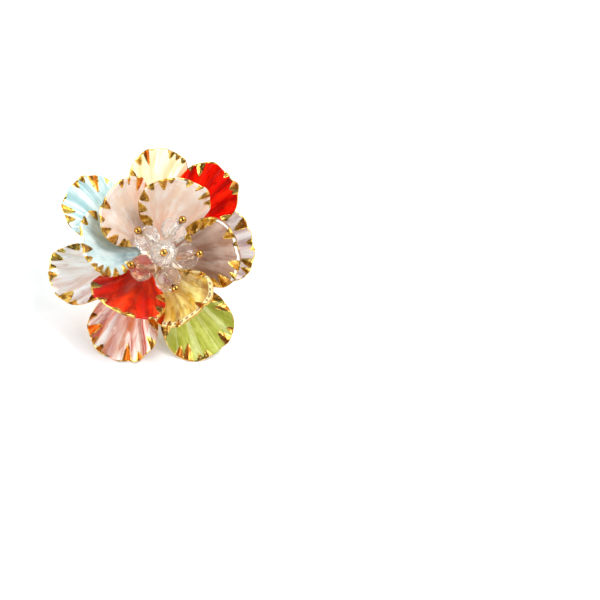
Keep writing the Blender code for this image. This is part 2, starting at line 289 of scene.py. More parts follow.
class Wiring:
    """Short hand for the nodes of one shader tree."""

    def __init__(self, tree: bpy.types.NodeTree) -> None:
        """Hold the tree."""
        self.tree = tree

    def fill(self, node: bpy.types.Node, inputs: dict[str | int, object]) -> None:
        """Give a node's named or numbered sockets another socket each, or a plain value.

        Args:
            node: the node to feed.
            inputs: what each socket gets.
        """
        for name, value in inputs.items():
            if isinstance(value, Socket):
                self.tree.links.new(value, node.inputs[name])
            else:
                node.inputs[name].default_value = value

    def node(self, kind: str, inputs: dict[str | int, object] | None = None,
             **settings: object) -> bpy.types.Node:
        """Add a node.

        Args:
            kind: Blender's name for the node's type.
            inputs: what each named or numbered socket gets.
            settings: the node's own settings.
        Returns:
            The node.
        """
        made = self.tree.nodes.new(kind)
        for name, value in settings.items():
            setattr(made, name, value)
        self.fill(made, inputs or {})
        return made

    def math(self, operation: str, first: object, second: object = 0.0, clamp: bool = False) -> Socket:
        """An operation on two numbers."""
        made = self.node("ShaderNodeMath", {0: first, 1: second}, operation=operation, use_clamp=clamp)
        return made.outputs[0]

    def times(self, first: object, second: object) -> Socket:
        """The product of two numbers."""
        return self.math("MULTIPLY", first, second)

    def plus(self, first: object, second: object) -> Socket:
        """The sum of two numbers."""
        return self.math("ADD", first, second)

    def less(self, first: object, second: object) -> Socket:
        """The first number less the second."""
        return self.math("SUBTRACT", first, second)

    def mix(self, share: object, first: object, second: object) -> Socket:
        """The colour between two others, at a share of the way."""
        return self.node("ShaderNodeMix", {0: share, 6: first, 7: second}, data_type="RGBA").outputs[2]

    def layers(self, colour: object, *coats: tuple[object, object, Colour]) -> Socket:
        """Coats laid over a colour in turn, each by its mask times its strength.

        Args:
            colour: the ground.
            coats: mask, strength and colour of each coat.
        Returns:
            The colour under all its coats.
        """
        for mask, strength, over in coats:
            colour = self.mix(self.times(mask, strength), colour, over)
        return colour

    def blend(self, share: object, first: object, second: object) -> Socket:
        """The number between two others, at a share of the way."""
        return self.node("ShaderNodeMix", {0: share, 2: first, 3: second}, data_type="FLOAT").outputs[0]

    def step(self, value: object, low: object, high: object) -> Socket:
        """A smooth step from 0 at low to 1 at high.

        Args:
            value: the number that is stepped.
            low: where the step is 0.
            high: where it is 1, also below low.
        Returns:
            The step.
        """
        made = self.node("ShaderNodeMapRange", {"Value": value, "From Min": low, "From Max": high},
                         interpolation_type="SMOOTHSTEP", clamp=True)
        return made.outputs[0]

    def noise(self, place: object, scale: object, detail: float = 2.0, roughness: float = 0.5,
              distortion: float = 0.0) -> Socket:
        """Cloudy noise about a half.

        Args:
            place: where the noise is read.
            scale: the rate of its clouds.
            detail: how many finer layers it has.
            roughness: how strong those are.
            distortion: how far the place is pushed about first.
        Returns:
            The noise, 0 to 1.
        """
        made = self.node("ShaderNodeTexNoise", {"Vector": place, "Scale": scale, "Detail": detail,
                                                "Roughness": roughness, "Distortion": distortion})
        return made.outputs[0]

    def bump(self, height: object, distance: float) -> Socket:
        """Normals tilted by a height that stands for a distance."""
        made = self.node("ShaderNodeBump", {"Strength": 1.0, "Distance": distance, "Height": height})
        return made.outputs[0]

    def place(self) -> Socket:
        """The place on the object."""
        return self.node("ShaderNodeTexCoord").outputs["Object"]

    def parts(self, place: object) -> object:
        """The three numbers of a place."""
        return self.node("ShaderNodeSeparateXYZ", {0: place}).outputs

    def attribute(self, name: str) -> Socket:
        """A number that the mesh carries per vertex."""
        return self.node("ShaderNodeAttribute", attribute_name=name).outputs["Fac"]


@dataclass(frozen=True)
class Effect:
    """A shader node group with named inputs and outputs, built once and placed in each material."""

    name: str
    places: tuple[str, ...]
    numbers: tuple[str, ...]
    gives: tuple[str, ...]

    def tree(self) -> bpy.types.NodeTree:
        """The group, built the first time that it is asked for.

        Returns:
            The group.
        """
        made = bpy.data.node_groups.get(self.name)
        if made is None:
            made = bpy.data.node_groups.new(self.name, "ShaderNodeTree")
            for names, way, kind in ((self.places, "INPUT", "NodeSocketVector"),
                                     (self.numbers, "INPUT", "NodeSocketFloat"),
                                     (self.gives, "OUTPUT", "NodeSocketFloat")):
                for name in names:
                    made.interface.new_socket(name=name, in_out=way, socket_type=kind)
            into = made.nodes.new("NodeGroupInput").outputs
            wiring = Wiring(made)
            wiring.fill(made.nodes.new("NodeGroupOutput"), self.wire(wiring, into))
        return made

    def wire(self, wiring: Wiring, into: object) -> dict[str, Socket]:
        """Lay the group's own nodes after its inputs, up to one socket for each output."""
        raise NotImplementedError

    def laid(self, wiring: Wiring, values: dict[str, object]) -> object:
        """The outputs of the group, put in a material with that material's own values."""
        return wiring.node("ShaderNodeGroup", values, node_tree=self.tree()).outputs


class PearlStreaks(Effect):
    """Streaks that run from a petal's root to its rim, as brushed pearl lacquer has; the enamel also paints a
    sheen along them.
    """

    def drawn_out(self, wiring: Wiring, into: object, across: object, along: float, offset: float,
                  *texture: float) -> Socket:
        """Noise on the petal's chart, with its own rate across and along the petal.

        Args:
            wiring: the group's wiring.
            into: the group's inputs.
            across: rate across the petal.
            along: rate along it.
            offset: what is added to the seed, so that two noises differ.
            texture: the noise's detail, roughness and distortion.
        Returns:
            The noise.
        """
        parts = wiring.parts(into["Chart"])
        place = wiring.node("ShaderNodeCombineXYZ", {
            0: wiring.times(parts[0], across), 1: wiring.times(parts[1], along),
            2: wiring.plus(into["Seed"], offset)}).outputs[0]
        return wiring.noise(place, 1.0, *texture)

    def wire(self, wiring: Wiring, into: object) -> dict[str, Socket]:
        """Noise drawn out along the petal: lines, broad bands, clouds and veins.

        A vein runs wherever the noise of the lines passes through its mean. Links are the sine of
        the place across the petal, pushed about by noise, for a chain along the rim.

        Args:
            wiring: the group's wiring.
            into: the group's inputs.
        Returns:
            A socket for each of the group's outputs.
        """
        rate = into["Lines"]
        lines = self.drawn_out(wiring, into, rate, 1.1, 0.0, 3.0, 0.55, 0.15)
        bands = self.drawn_out(wiring, into, wiring.times(rate, 0.33), 0.9, 31.0, 2.0, 0.5, 0.5)
        push = wiring.times(self.drawn_out(wiring, into, 24.0, 0.0, 0.0, 1.0), 9.0)
        turns = wiring.plus(wiring.times(wiring.parts(into["Chart"])[0], 120.0), push)
        off = wiring.math("ABSOLUTE", wiring.less(lines, 0.5))
        return {
            "Lines": wiring.step(lines, 0.36, 0.66),
            "Bands": wiring.step(bands, 0.36, 0.64),
            "Clouds": self.drawn_out(wiring, into, 11.0, 5.0, 67.0, 4.0, 0.6),
            "Links": wiring.math("SINE", turns),
            "Veins": wiring.less(1.0, wiring.step(off, 0.0, 0.03)),
            "Height": wiring.plus(wiring.times(lines, 0.6), bands),
        }


class GiltEdge(Effect):
    """Where the gilding lies: a stated depth into the gilt, frayed a little by noise."""

    def wire(self, wiring: Wiring, into: object) -> dict[str, Socket]:
        """The gilt's depth plus noise, cut off crisply; and a thin band along that cut.

        Args:
            wiring: the group's wiring.
            into: the group's inputs.
        Returns:
            A socket for each of the group's outputs.
        """
        fray = wiring.less(wiring.noise(into["Place"], 1500.0, 3.0, 0.6), 0.5)
        depth = wiring.plus(into["Depth"], wiring.times(fray, into["Fray"]))
        outside = wiring.step(wiring.times(depth, -1.0), -0.06, 0.02)
        return {"Mask": wiring.step(depth, -0.02, 0.06),
                "Edge": wiring.times(wiring.step(depth, -0.22, -0.02), outside)}


class Crumple(Effect):
    """The small uneven facets of hand-laid gilding, the hazing of its polish, and dark patina."""

    def wire(self, wiring: Wiring, into: object) -> dict[str, Socket]:
        """Facets from a cell pattern and noise; haze from larger noise; patina from its peaks.

        Args:
            wiring: the group's wiring.
            into: the group's inputs.
        Returns:
            A socket for each of the group's outputs.
        """
        place, scale = into["Place"], into["Scale"]
        cells = wiring.node("ShaderNodeTexVoronoi", {"Vector": place, "Scale": scale}, feature="SMOOTH_F1")
        grain = wiring.noise(place, wiring.times(scale, 2.3), 3.0, 0.6)
        return {
            "Height": wiring.plus(cells.outputs[0], wiring.times(grain, 0.4)),
            "Haze": wiring.step(wiring.noise(place, 420.0, 3.0, 0.6), 0.35, 0.7),
            "Patina": wiring.step(wiring.noise(place, 700.0), 0.52, 0.60),
        }


STREAKS = PearlStreaks("Pearl streaks", ("Chart",), ("Lines", "Seed"),
                       ("Lines", "Bands", "Clouds", "Links", "Veins", "Height"))
GILT_EDGE = GiltEdge("Gilt edge", ("Place",), ("Depth", "Fray"), ("Mask", "Edge"))
CRUMPLE = Crumple("Crumpled gilding", ("Place",), ("Scale",), ("Height", "Haze", "Patina"))

GILT: Colour = (0.91, 0.61, 0.15, 1.0)
GILT_DEEP: Colour = (0.46, 0.21, 0.02, 1.0)
GILT_DARK: Colour = (0.14, 0.07, 0.012, 1.0)
# Orange painted into the gilt as a reflection of the red and orange petals nearby.
GILT_ORANGE_REFLECTION: Colour = (0.86, 0.17, 0.015, 1.0)
GILT_PALE: Colour = (0.96, 0.92, 0.87, 1.0)
# A darker copy of the gilt for the pins, standing in for the darker surroundings that they reflect: painted
# shade.
GILT_PAINTED_SHADE: Colour = (0.54, 0.28, 0.065, 1.0)
RIM_PEARL: Colour = (0.97, 0.94, 0.88, 1.0)
CLEAR: Colour = (1.0, 0.99, 0.97, 1.0)


@dataclass(frozen=True)
class Finish:
    """What every finish has: a name, and a material made from its own numbers."""

    name: str

    def material(self) -> bpy.types.Material:
        """A new node material, its shader fed with what the finish gives.

        Returns:
            The material.
        """
        material = bpy.data.materials.new(self.name)
        material.use_nodes = True
        wiring = Wiring(material.node_tree)
        wiring.fill(material.node_tree.nodes["Principled BSDF"], self.inputs(wiring))
        return material

    def inputs(self, wiring: Wiring) -> dict[str, object]:
        """What each of the shader's sockets gets."""
        raise NotImplementedError


def materials(finishes: list[Finish]) -> dict[Finish, bpy.types.Material]:
    """The material of each different finish."""
    return {finish: finish.material() for finish in dict.fromkeys(finishes)}


@dataclass(frozen=True)
class Enamel(Finish):
    """Pearl enamel over pleated metal, gilt at the rim.

    Main is the body colour; light the pearl streaks, partly a painted sheen, and the painted
    highlight on the tops of the folds; deep the colour towards the root, partly painted shade near
    the flower's middle, and the painted shade in the valleys; and stripe the brushed-in second colour,
    as strong as striping says. Pearl is how strong the streaks are, lines how many lie across the
    petal, and fade where the deep colour of the root ends. The field fold_shading is how strong the
    painted shade in the valleys and the painted highlight on the tops are, veining how dark the fine
    creases are, band how pale the strip along the rim is, mottling how far the pearl clouds over,
    gloss how strong the clear coat is, and chain how far the pale strip is broken up into links.
    Strip is that strip's width, as a share of the petal's length, and rim its colour.
    """

    main: Colour
    light: Colour
    deep: Colour
    stripe: Colour
    striping: float
    pearl: float
    lines: float
    fade: float
    seed: float
    fold_shading: float
    veining: float = 0.3
    band: float = 0.0
    mottling: float = 0.25
    gloss: float = 0.9
    chain: float = 0.0
    strip: float = 0.04
    rim: Colour = RIM_PEARL

    def paint(self, wiring: Wiring, place: Socket, chart: Socket, streaks: object) -> Socket:
        """The enamel's colour: coats laid by the way from the root, the folds and the streaks, with partly
        painted shade towards the root, painted shade in the valleys and a painted highlight on the fold tops.

        Args:
            wiring: the material's wiring.
            place: the place on the object.
            chart: the place on the petal's chart.
            streaks: the outputs of the pearl streaks.
        Returns:
            The colour on the front, and the main colour behind.
        """
        along, fold, step = wiring.parts(chart)[1], wiring.attribute("fold"), wiring.step
        # The fold tops, raised further along the streaks, where the painted highlight goes.
        raised = wiring.plus(fold, wiring.times(streaks["Lines"], 0.4))
        grain = wiring.less(wiring.noise(place, 950.0), 0.5)
        wavy = wiring.plus(along, wiring.times(grain, 0.05))
        start = 1 - self.strip
        holes = wiring.times(step(wavy, start + 0.012, start + 0.022), step(wavy, 0.992, 0.982))
        colour = wiring.layers(
            self.main,
            # Deeper colour towards the root: partly the enamel's own deeper tint, partly painted shade near
            # the flower's middle.
            (step(along, self.fade, 0.08), 0.9, self.deep),
            (streaks["Bands"], self.striping, self.stripe),
            # Painted shade in the valleys of the folds and a painted highlight on their tops, as strong as
            # fold_shading says.
            (step(fold, 0.1, -0.9), self.fold_shading, self.deep),
            (step(raised, 0.35, 1.1), self.fold_shading, self.light),
            # Pearl streaks in the light colour: partly the lacquer's own streaks, partly a painted sheen.
            (streaks["Lines"], self.pearl, self.light),
            (step(streaks["Clouds"], 0.48, 0.66), self.mottling, self.light),
            (step(streaks["Clouds"], 0.48, 0.32), self.mottling * 0.5, self.deep),
            (streaks["Veins"], self.veining, self.deep),
            (step(wavy, start - 0.025, start - 0.005), self.band * 0.4, self.deep),
            (step(wavy, start - 0.005, start + 0.008), self.band, self.rim),
            (wiring.times(holes, step(streaks["Links"], -0.6, 0.1)), self.chain, self.deep))
        return wiring.mix(wiring.attribute("front"), self.main, colour)

    def inputs(self, wiring: Wiring) -> dict[str, object]:
        """The paint with a dark line along the gilding, and the gilding over it, with painted shade on one
        side of each drip, haze, patina and a painted orange reflection.

        Args:
            wiring: the material's wiring.
        Returns:
            What each of the shader's sockets gets.
        """
        chart = wiring.node("ShaderNodeUVMap", uv_map="petal").outputs[0]
        place, depth = wiring.place(), wiring.attribute("gilt")
        streaks = STREAKS.laid(wiring, {"Chart": chart, "Lines": self.lines, "Seed": self.seed})
        gilt = GILT_EDGE.laid(wiring, {"Depth": depth, "Place": place, "Fray": 0.55})
        crumple = CRUMPLE.laid(wiring, {"Place": place, "Scale": 1100.0})
        haze, mask, inside = crumple["Haze"], gilt["Mask"], wiring.step(depth, 0.25, 0.8)
        paint = wiring.layers(self.paint(wiring, place, chart, streaks), (gilt["Edge"], 0.35, self.deep))
        # Painted shade on one side of each drip, an uneven tone along the rim line, and haze.
        tone = wiring.math("ADD", wiring.times(wiring.attribute("facet"), 0.7), wiring.times(haze, 0.4), True)
        metal = wiring.layers(GILT, (tone, inside, GILT_DEEP),
                              (crumple["Patina"], wiring.blend(inside, 0.85, 0.7), GILT_DARK),
                              # Painted reflection: orange from the nearby red and orange petals, laid into
                              # the drips.
                              (wiring.attribute("orange_reflection"), inside, GILT_ORANGE_REFLECTION))
        rough = wiring.blend(streaks["Bands"], 0.38, 0.26)
        relief = wiring.plus(wiring.times(crumple["Height"], 0.7), 0.6)
        return {
            "Base Color": wiring.mix(mask, paint, metal),
            "Metallic": mask,
            "Roughness": wiring.blend(mask, rough, wiring.blend(haze, 0.24, 0.36)),
            "Coat Weight": wiring.times(wiring.less(1.0, mask), self.gloss),
            "Coat Roughness": 0.12, "Coat IOR": 1.7, "Specular IOR Level": 0.4 * self.gloss,
            "Normal": wiring.bump(wiring.blend(mask, streaks["Height"], relief), 0.00008),
        }


@dataclass(frozen=True)
class PolishedGold(Finish):
    """Gold plating whose colour and polish vary with haze, over faint crumpled relief."""

    marks: float
    rough: float
    bright: Colour = GILT
    dull: Colour = GILT_DEEP

    def inputs(self, wiring: Wiring) -> dict[str, object]:
        """Colour and roughness by haze, and bump by the marks' depth.

        Args:
            wiring: the material's wiring.
        Returns:
            What each of the shader's sockets gets.
        """
        crumple = CRUMPLE.laid(wiring, {"Place": wiring.place(), "Scale": 700.0})
        return {
            "Base Color": wiring.mix(wiring.times(crumple["Haze"], 0.6), self.bright, self.dull),
            "Roughness": wiring.blend(crumple["Haze"], self.rough, self.rough + 0.1),
            "Metallic": 1.0,
            "Normal": wiring.bump(crumple["Height"], self.marks),
        }


@dataclass(frozen=True)
class CutCrystal(Finish):
    """Clear cut glass with a breath of warm tint and the faintest rubbing on its facets."""

    tint: Colour = CLEAR
    passing: float = 0.95

    def inputs(self, wiring: Wiring) -> dict[str, object]:
        """Glass whose tint and polish vary a little over the facets.

        Args:
            wiring: the material's wiring.
        Returns:
            What each of the shader's sockets gets.
        """
        place = wiring.place()
        cloud = wiring.step(wiring.noise(place, 500.0), 0.35, 0.65)
        rub = wiring.step(wiring.noise(place, 2600.0, 3.0, 0.7), 0.55, 0.8)
        return {
            "Base Color": wiring.mix(wiring.times(cloud, 0.3), self.tint, CLEAR),
            "Roughness": wiring.blend(rub, 0.20, 0.27),
            "Coat Weight": 0.45, "Coat Roughness": 0.02,
            "Transmission Weight": self.passing, "IOR": 1.38,
        }


CRYSTAL = CutCrystal("crystal_clear")
# A milkier, whiter copy of the clear glass for the top and centre beads, which show brighter: painted light.
BRIGHT_CRYSTAL = CutCrystal("crystal_bright", (1.0, 0.99, 0.96, 1.0), 0.86)
# Tints that paint the colours of petals seen through the clear glass into it: painted refraction, warm for
# the right and bottom beads, red for the lower left one.
WARM_REFRACTION_CRYSTAL = CutCrystal("crystal_warm_refraction", (0.91, 0.79, 0.69, 1.0))
RED_REFRACTION_CRYSTAL = CutCrystal("crystal_red_refraction", (0.91, 0.57, 0.40, 1.0))


@dataclass(frozen=True)
class StudioPaper(Finish):
    """The pale floor: matt paper, lit through a little, with a trace of grain in its roughness."""

    shade: Colour = (0.925, 0.93, 0.942, 1.0)
    glow: float = 0.14

    def inputs(self, wiring: Wiring) -> dict[str, object]:
        """Near-white paper, with noise in the roughness alone.

        Args:
            wiring: the material's wiring.
        Returns:
            What each of the shader's sockets gets.
        """
        return {
            "Base Color": self.shade, "Emission Color": grey(1.0), "Emission Strength": self.glow,
            "Roughness": wiring.blend(wiring.noise(wiring.place(), 900.0, 3.0), 0.7, 0.95),
            "Specular IOR Level": 0.2,
        }


# Petals


class Tier(Enum):
    """The two rings of petals."""

    OUTER = "outer"
    INNER = "inner"


@dataclass(frozen=True)
class Drip:
    """One gilt drip: a crimp that is broad at the border and runs to a point inside the petal.

    Place is along the border: -1 to 1 across the rim, and beyond that down the sides. Reach and
    spread, half the drip's width at the border, are shares of the petal's length. The field
    orange_reflection is how much orange is painted into the gilt as a painted reflection of the red
    and orange petals nearby, and focus how far from the root the drip aims on the petal's middle line.
    """

    place: float
    reach: float
    spread: float
    orange_reflection: float = 0.0
    focus: float = 0.42

    def depth(self, start: np.ndarray, flat: np.ndarray) -> np.ndarray:
        """How far inside the drip a point of the flat petal lies; below nought is outside.

        The drip's middle line goes from its start on the border towards a point on the petal's
        own middle line. Its half width shrinks along that line as a power of what is left.

        Args:
            start: the drip's place on the border of the flat petal.
            flat: points of the flat petal, in shares of its length.
        Returns:
            The depth of each point, in shares of the length.
        """
        left = 1 - (flat - start) @ self.way(start) / self.reach
        half = np.where(left > 0, np.abs(left) ** 0.62, left) * self.spread
        return half - np.abs(self.beside(start, flat))

    def way(self, start: np.ndarray) -> np.ndarray:
        """Direction of the drip's middle line on the flat petal."""
        return unit(np.array([self.focus, 0.0]) - start)

    def beside(self, start: np.ndarray, flat: np.ndarray) -> np.ndarray:
        """How far to the side of the middle line each point lies."""
        way = self.way(start)
        return (flat - start) @ np.array([-way[1], way[0]])

    def shade(self, start: np.ndarray, flat: np.ndarray) -> np.ndarray:
        """Painted shade on the drip: 0 on one side of its middle line, 1 and painted darker on the other,
        with a short blend between.
        """
        return np.clip(0.5 + self.beside(start, flat) / (0.3 * self.spread), 0, 1)


@dataclass(frozen=True)
class Petal:
    """One petal. Angles are degrees; length, width and lift are shares of the shared sizes."""

    name: str
    slot: str
    tier: Tier
    azimuth: float
    pitch: float
    roll: float
    curl: float
    cup: float
    lift: float
    length: float
    width: float
    enamel: Enamel
    drips: tuple[Drip, ...]
    seed: int
    fluting: float = 1.1
    rim_gilt: float = 0.0
    creasing: float = 0.00005
    nicking: float = 0.45
    rows: int = 72
    columns: int = 150
    rim_steps: int = 3

    def wave(self, place: np.ndarray, rate: float, number: int) -> np.ndarray:
        """One of the petal's own uneven waves."""
        return wander(place, rate, self.seed + number)

    def flat(self, across: np.ndarray, along: np.ndarray) -> np.ndarray:
        """Points of the flat fan, forward and sideways, in shares of the petal's length.

        The rim drops at the shoulders, and is nicked by the pleats and by a slow uneven wave.

        Args:
            across: place across the fan, -1 to 1.
            along: place from root to rim, 0 to 1.
        Returns:
            The points, with one more axis than the arguments.
        """
        fan = math.radians(SIZES.fan_half_angle) * across
        nicks = SIZES.scallop_share * self.nicking * self.ridge(across, along)
        nicks = nicks + SIZES.rim_wave_share * self.wave(across, 2.0, 1)
        rim = SIZES.fan_outline(across) * (1 + nicks * along ** 2) * self.scale(along)
        half = SIZES.petal_width * self.width / (2 * SIZES.petal_length * self.length)
        return np.stack([rim * np.cos(fan), half * rim * np.sin(fan) / SIZES.widest_share()], -1)

    def scale(self, along: np.ndarray) -> np.ndarray:
        """How far the fan has opened: from the neck's share at the root to one at the rim."""
        return SIZES.neck_share + (1 - SIZES.neck_share) * along

    def ridge(self, across: np.ndarray, along: np.ndarray) -> np.ndarray:
        """The pleats' wave, 1 on each ridge: a cosine whose ridges stand unevenly and sway a little."""
        sway = 0.09 * self.wave(across, 0.9, 0) + 0.11 * self.wave(along, 0.6, 7) * along
        return np.cos(math.pi * SIZES.pleats * (across + sway))

    def relief(self, across: np.ndarray, along: np.ndarray) -> np.ndarray:
        """Height of the folds, in metres.

        The pleats' cosine, some higher than others, then finer creases with sharp valleys, the
        absolute value of an uneven wave that sways along the petal, and a slow ruffle that grows
        towards the rim.

        Args:
            across: place across the fan, -1 to 1.
            along: place from root to rim, 0 to 1.
        Returns:
            The height at each place.
        """
        scale = self.scale(along)
        pleats = self.ridge(across, along) * (1 + 0.65 * self.wave(across, 1.1, 9))
        pleats = pleats * SIZES.pleat_height * scale ** SIZES.pleat_power
        crease = 2 * np.abs(self.wave(across + 0.06 * self.wave(along, 0.6, 8), 2.6, 2)) - 1
        ruffle = SIZES.ruffle_height * along ** 4 * self.wave(across, 1.5, 3)
        return self.fluting * (pleats + ruffle) + self.creasing * scale * np.clip(crease, -1, 0.7)

    def start(self, drip: Drip) -> np.ndarray:
        """Where a drip starts on the border of the flat petal."""
        place = np.array(drip.place)
        return self.flat(np.clip(place, -1, 1), 1 - np.maximum(np.abs(place) - 1, 0))

    def drip_depths(self, across: np.ndarray, along: np.ndarray) -> list[np.ndarray]:
        """How deep in each drip the points lie, in shares of the length."""
        flat = self.flat(across, along)
        return [drip.depth(self.start(drip), flat) for drip in self.drips]

    def crimp(self, across: np.ndarray, along: np.ndarray) -> np.ndarray:
        """Height of the crimps: a roof over each drip, and a shallow hollow over every third.

        Args:
            across: place across the fan, -1 to 1.
            along: place from root to rim, 0 to 1.
        Returns:
            The height at each place, 1 on the ridge of a roof.
        """
        height = np.zeros(np.broadcast(across, along).shape)
        for number, (drip, depth) in enumerate(zip(self.drips, self.drip_depths(across, along))):
            height = height + (1.0 if number % 3 else -0.45) * np.clip(depth / drip.spread, 0, 1)
        return height

    def surface(self, across: np.ndarray, along: np.ndarray, side: float) -> np.ndarray:
        """Points of the petal's front, side 1, or back, side -1, in the flower's frame.

        The flat fan is folded, crimped at its drips, bent along its length by the curl, dished
        across its width by the cup, less on the tucked side, then rolled, pitched and set in its
        ring.

        Args:
            across: place across the fan, -1 to 1.
            along: place from root to rim, 0 to 1.
            side: 1 for the front and -1 for the back.
        Returns:
            The points, with one more axis than the arguments.
        """
        outer = self.tier is Tier.OUTER
        length = SIZES.petal_length * self.length
        forward, sideways = np.moveaxis(self.flat(across, along) * length, -1, 0)
        curl = math.radians(self.curl) + BARELY_BENT
        bend = curl * forward / length
        cup_radius = SIZES.petal_width * self.width / 2 / math.radians(self.cup)
        dish = sideways / cup_radius
        kept = np.where(sideways < 0, 1.0 if outer else SIZES.tuck_share, 1.0)
        shares = SIZES.root_thick_share + (SIZES.rim_thick_share - SIZES.root_thick_share) * along
        thick = SIZES.petal_thick * shares / 2 * side
        rise = cup_radius * (1 - np.cos(dish)) * kept + self.relief(across, along)
        rise = rise + SIZES.crimp_height * self.crimp(across, along) + thick * np.cos(dish)
        x = length * np.sin(bend) / curl - np.sin(bend) * rise
        z = length * (1 - np.cos(bend)) / curl + np.cos(bend) * rise
        y = cup_radius * np.sin(dish) - thick * np.sin(dish)

        radius = SIZES.outer_root_radius if outer else SIZES.inner_root_radius
        lifted = SIZES.piece_gap + SIZES.petal_thick * (SIZES.root_thick_share / 2 + self.lift)
        root = np.array([radius - SIZES.neck_share * SIZES.root_inset_share * length, 0,
                         SIZES.dome_height(radius) + lifted])
        points = np.stack([x, y, z], -1) @ (turn("Y", -self.pitch) @ turn("X", self.roll)).T + root
        return points @ turn("Z", self.azimuth).T

    def gilding(self, across: np.ndarray, along: np.ndarray) -> tuple[np.ndarray, np.ndarray, np.ndarray]:
        """How deep in the gilding each point lies, how much painted orange reflection it has, and its painted
        shade and tone.

        The gilding is the union of the drips and of a thin broken line along the rim and sides.
        Depth is about 1 well inside it. On the drips the shade is painted shade, darker on one side of
        each crimp's roof; along the rim line it is an uneven tone.

        Args:
            across: place across the fan, -1 to 1.
            along: place from root to rim, 0 to 1.
        Returns:
            Depth, painted orange reflection, and painted shade and tone, one number a point each.
        """
        length = SIZES.petal_length * self.length
        arc = length * SIZES.fan_outline(across)
        beside = (1 - np.abs(across)) * 0.8 * arc * along + SIZES.gilt_step * (1 - along)
        line = SIZES.gilt_line * (self.rim_gilt + self.wave(across, 3.1, 4))
        depth = (line - np.minimum((1 - along) * arc, beside)) / SIZES.gilt_step
        orange_reflection = np.zeros(depth.shape)
        # Along the rim line an uneven tone; on each drip, set below, painted shade by side.
        facet = 0.5 + 0.5 * self.wave(across, 12, 6)
        flat = self.flat(across, along)
        for drip, deep in zip(self.drips, self.drip_depths(across, along)):
            inside = deep * length / SIZES.gilt_step
            # Each drip's painted orange reflection.
            orange_reflection = np.where(inside > depth, drip.orange_reflection, orange_reflection)
            facet = np.where(inside > depth, drip.shade(self.start(drip), flat), facet)
            depth = np.maximum(depth, inside)
        return np.clip(depth, -2, 2).ravel(), orange_reflection.ravel(), np.clip(facet, 0, 1).ravel()

    def round_rim(self, front: np.ndarray, back: np.ndarray, border: np.ndarray,
                  inner: np.ndarray) -> list[np.ndarray]:
        """Rows of points that round the rim: half ellipses from front to back over each border point.

        Args:
            front: the front's points.
            back: the back's points.
            border: numbers of the points round the border.
            inner: numbers of their neighbours one row in, which say which way is outward.
        Returns:
            One row of points a step.
        """
        middle, half = (front[border] + back[border]) / 2, (front[border] - back[border]) / 2
        outward = middle - (front[inner] + back[inner]) / 2
        outward = sum(np.roll(outward, shift, 0) for shift in (-2, -1, 0, 1, 2))
        upward = unit(half)
        outward -= upward * (outward * upward).sum(1, keepdims=True)
        outward = unit(outward) * np.linalg.norm(half, axis=1, keepdims=True)
        angles = np.linspace(0, math.pi, self.rim_steps + 2)[1:-1]
        return [middle + half * math.cos(angle) + outward * math.sin(angle) for angle in angles]

    def build(self, placing: Placing) -> bpy.types.Object:
        """Lay the front and back on one grid and close them with a round rim.

        Args:
            placing: where the flower lies.
        Returns:
            The petal's object, with its chart and gilding.
        """
        places = np.linspace(-1, 1, self.columns + 1)
        across, along = np.meshgrid(places, 1 - (1 - np.linspace(0, 1, self.rows + 1)) ** 1.25)
        front, back = (self.surface(across, along, side).reshape(-1, 3) for side in (1.0, -1.0))
        order = np.arange(across.size).reshape(across.shape)
        border = np.concatenate([order[0, :-1], order[:-1, -1], order[-1, :0:-1], order[:0:-1, 0]])
        inner = np.concatenate([order[1, :-1], order[:-1, -2], order[-2, :0:-1], order[:0:-1, 1]])
        total, around = across.size, len(border)
        low, high = order[:-1, :-1].ravel(), order[1:, :-1].ravel()
        faces = [np.stack([low, high, high + 1, low + 1], 1),
                 np.stack([low, low + 1, high + 1, high], 1) + total]
        steps = [2 * total + step * around + np.arange(around) for step in range(self.rim_steps)]
        loops = [border, *steps, border + total]
        faces += [np.stack([first, np.roll(first, -1), np.roll(second, -1), second], 1)
                  for first, second in zip(loops, loops[1:])]
        points = np.concatenate([front, back, *self.round_rim(front, back, border, inner)])
        item = add_mesh(f"{self.tier.value}_petal_{self.name}_enamelled", placing.out(points),
                        np.concatenate(faces))

        chart = np.stack([(across.ravel() + 1) / 2, along.ravel()], 1)
        add_uv(item, "petal", np.concatenate([chart, chart] + [chart[border]] * self.rim_steps))
        depth, orange_reflection, facet = self.gilding(across, along)
        behind = np.clip(depth, -2, 0.6) - 0.25 * (along.ravel() < 0.97)
        line = self.rim_gilt + 0.9 * self.wave(np.arange(around) / around, 16, 5)
        line = np.maximum(line, np.clip(depth[border] * 2, -2, 2))
        fold = self.relief(across, along).ravel() / (SIZES.pleat_height * self.fluting)
        none, plain = np.zeros(total), np.zeros(around * self.rim_steps)
        add_attribute(item, "gilt", depth, behind, np.tile(line, self.rim_steps))
        # The drips' painted orange reflection.
        add_attribute(item, "orange_reflection", orange_reflection, none, plain)
        # The drips' painted shade by side, and the rim line's uneven tone.
        add_attribute(item, "facet", facet, facet, np.tile(facet[border], self.rim_steps))
        add_attribute(item, "fold", fold, fold, plain)
        add_attribute(item, "front", none + 1, none, plain)
        return item


def enamel(name: str, main: tuple, light: tuple, deep: tuple, stripe: tuple, *looks: float,
           **more: object) -> Enamel:
    """An enamel from four screen colours; looks are striping, pearl, lines, fade, seed, fold_shading,
    veining.
    """
    return Enamel(f"enamel_{name}", *(linear(*one) for one in (main, light, deep, stripe)), *looks, **more)


def drips(*rows: tuple[float, ...]) -> tuple[Drip, ...]:
    """Drips from rows of place, reach, spread and, where the gilt shows a painted orange reflection of nearby
    petals, its strength.
    """
    return tuple(Drip(*row) for row in rows)


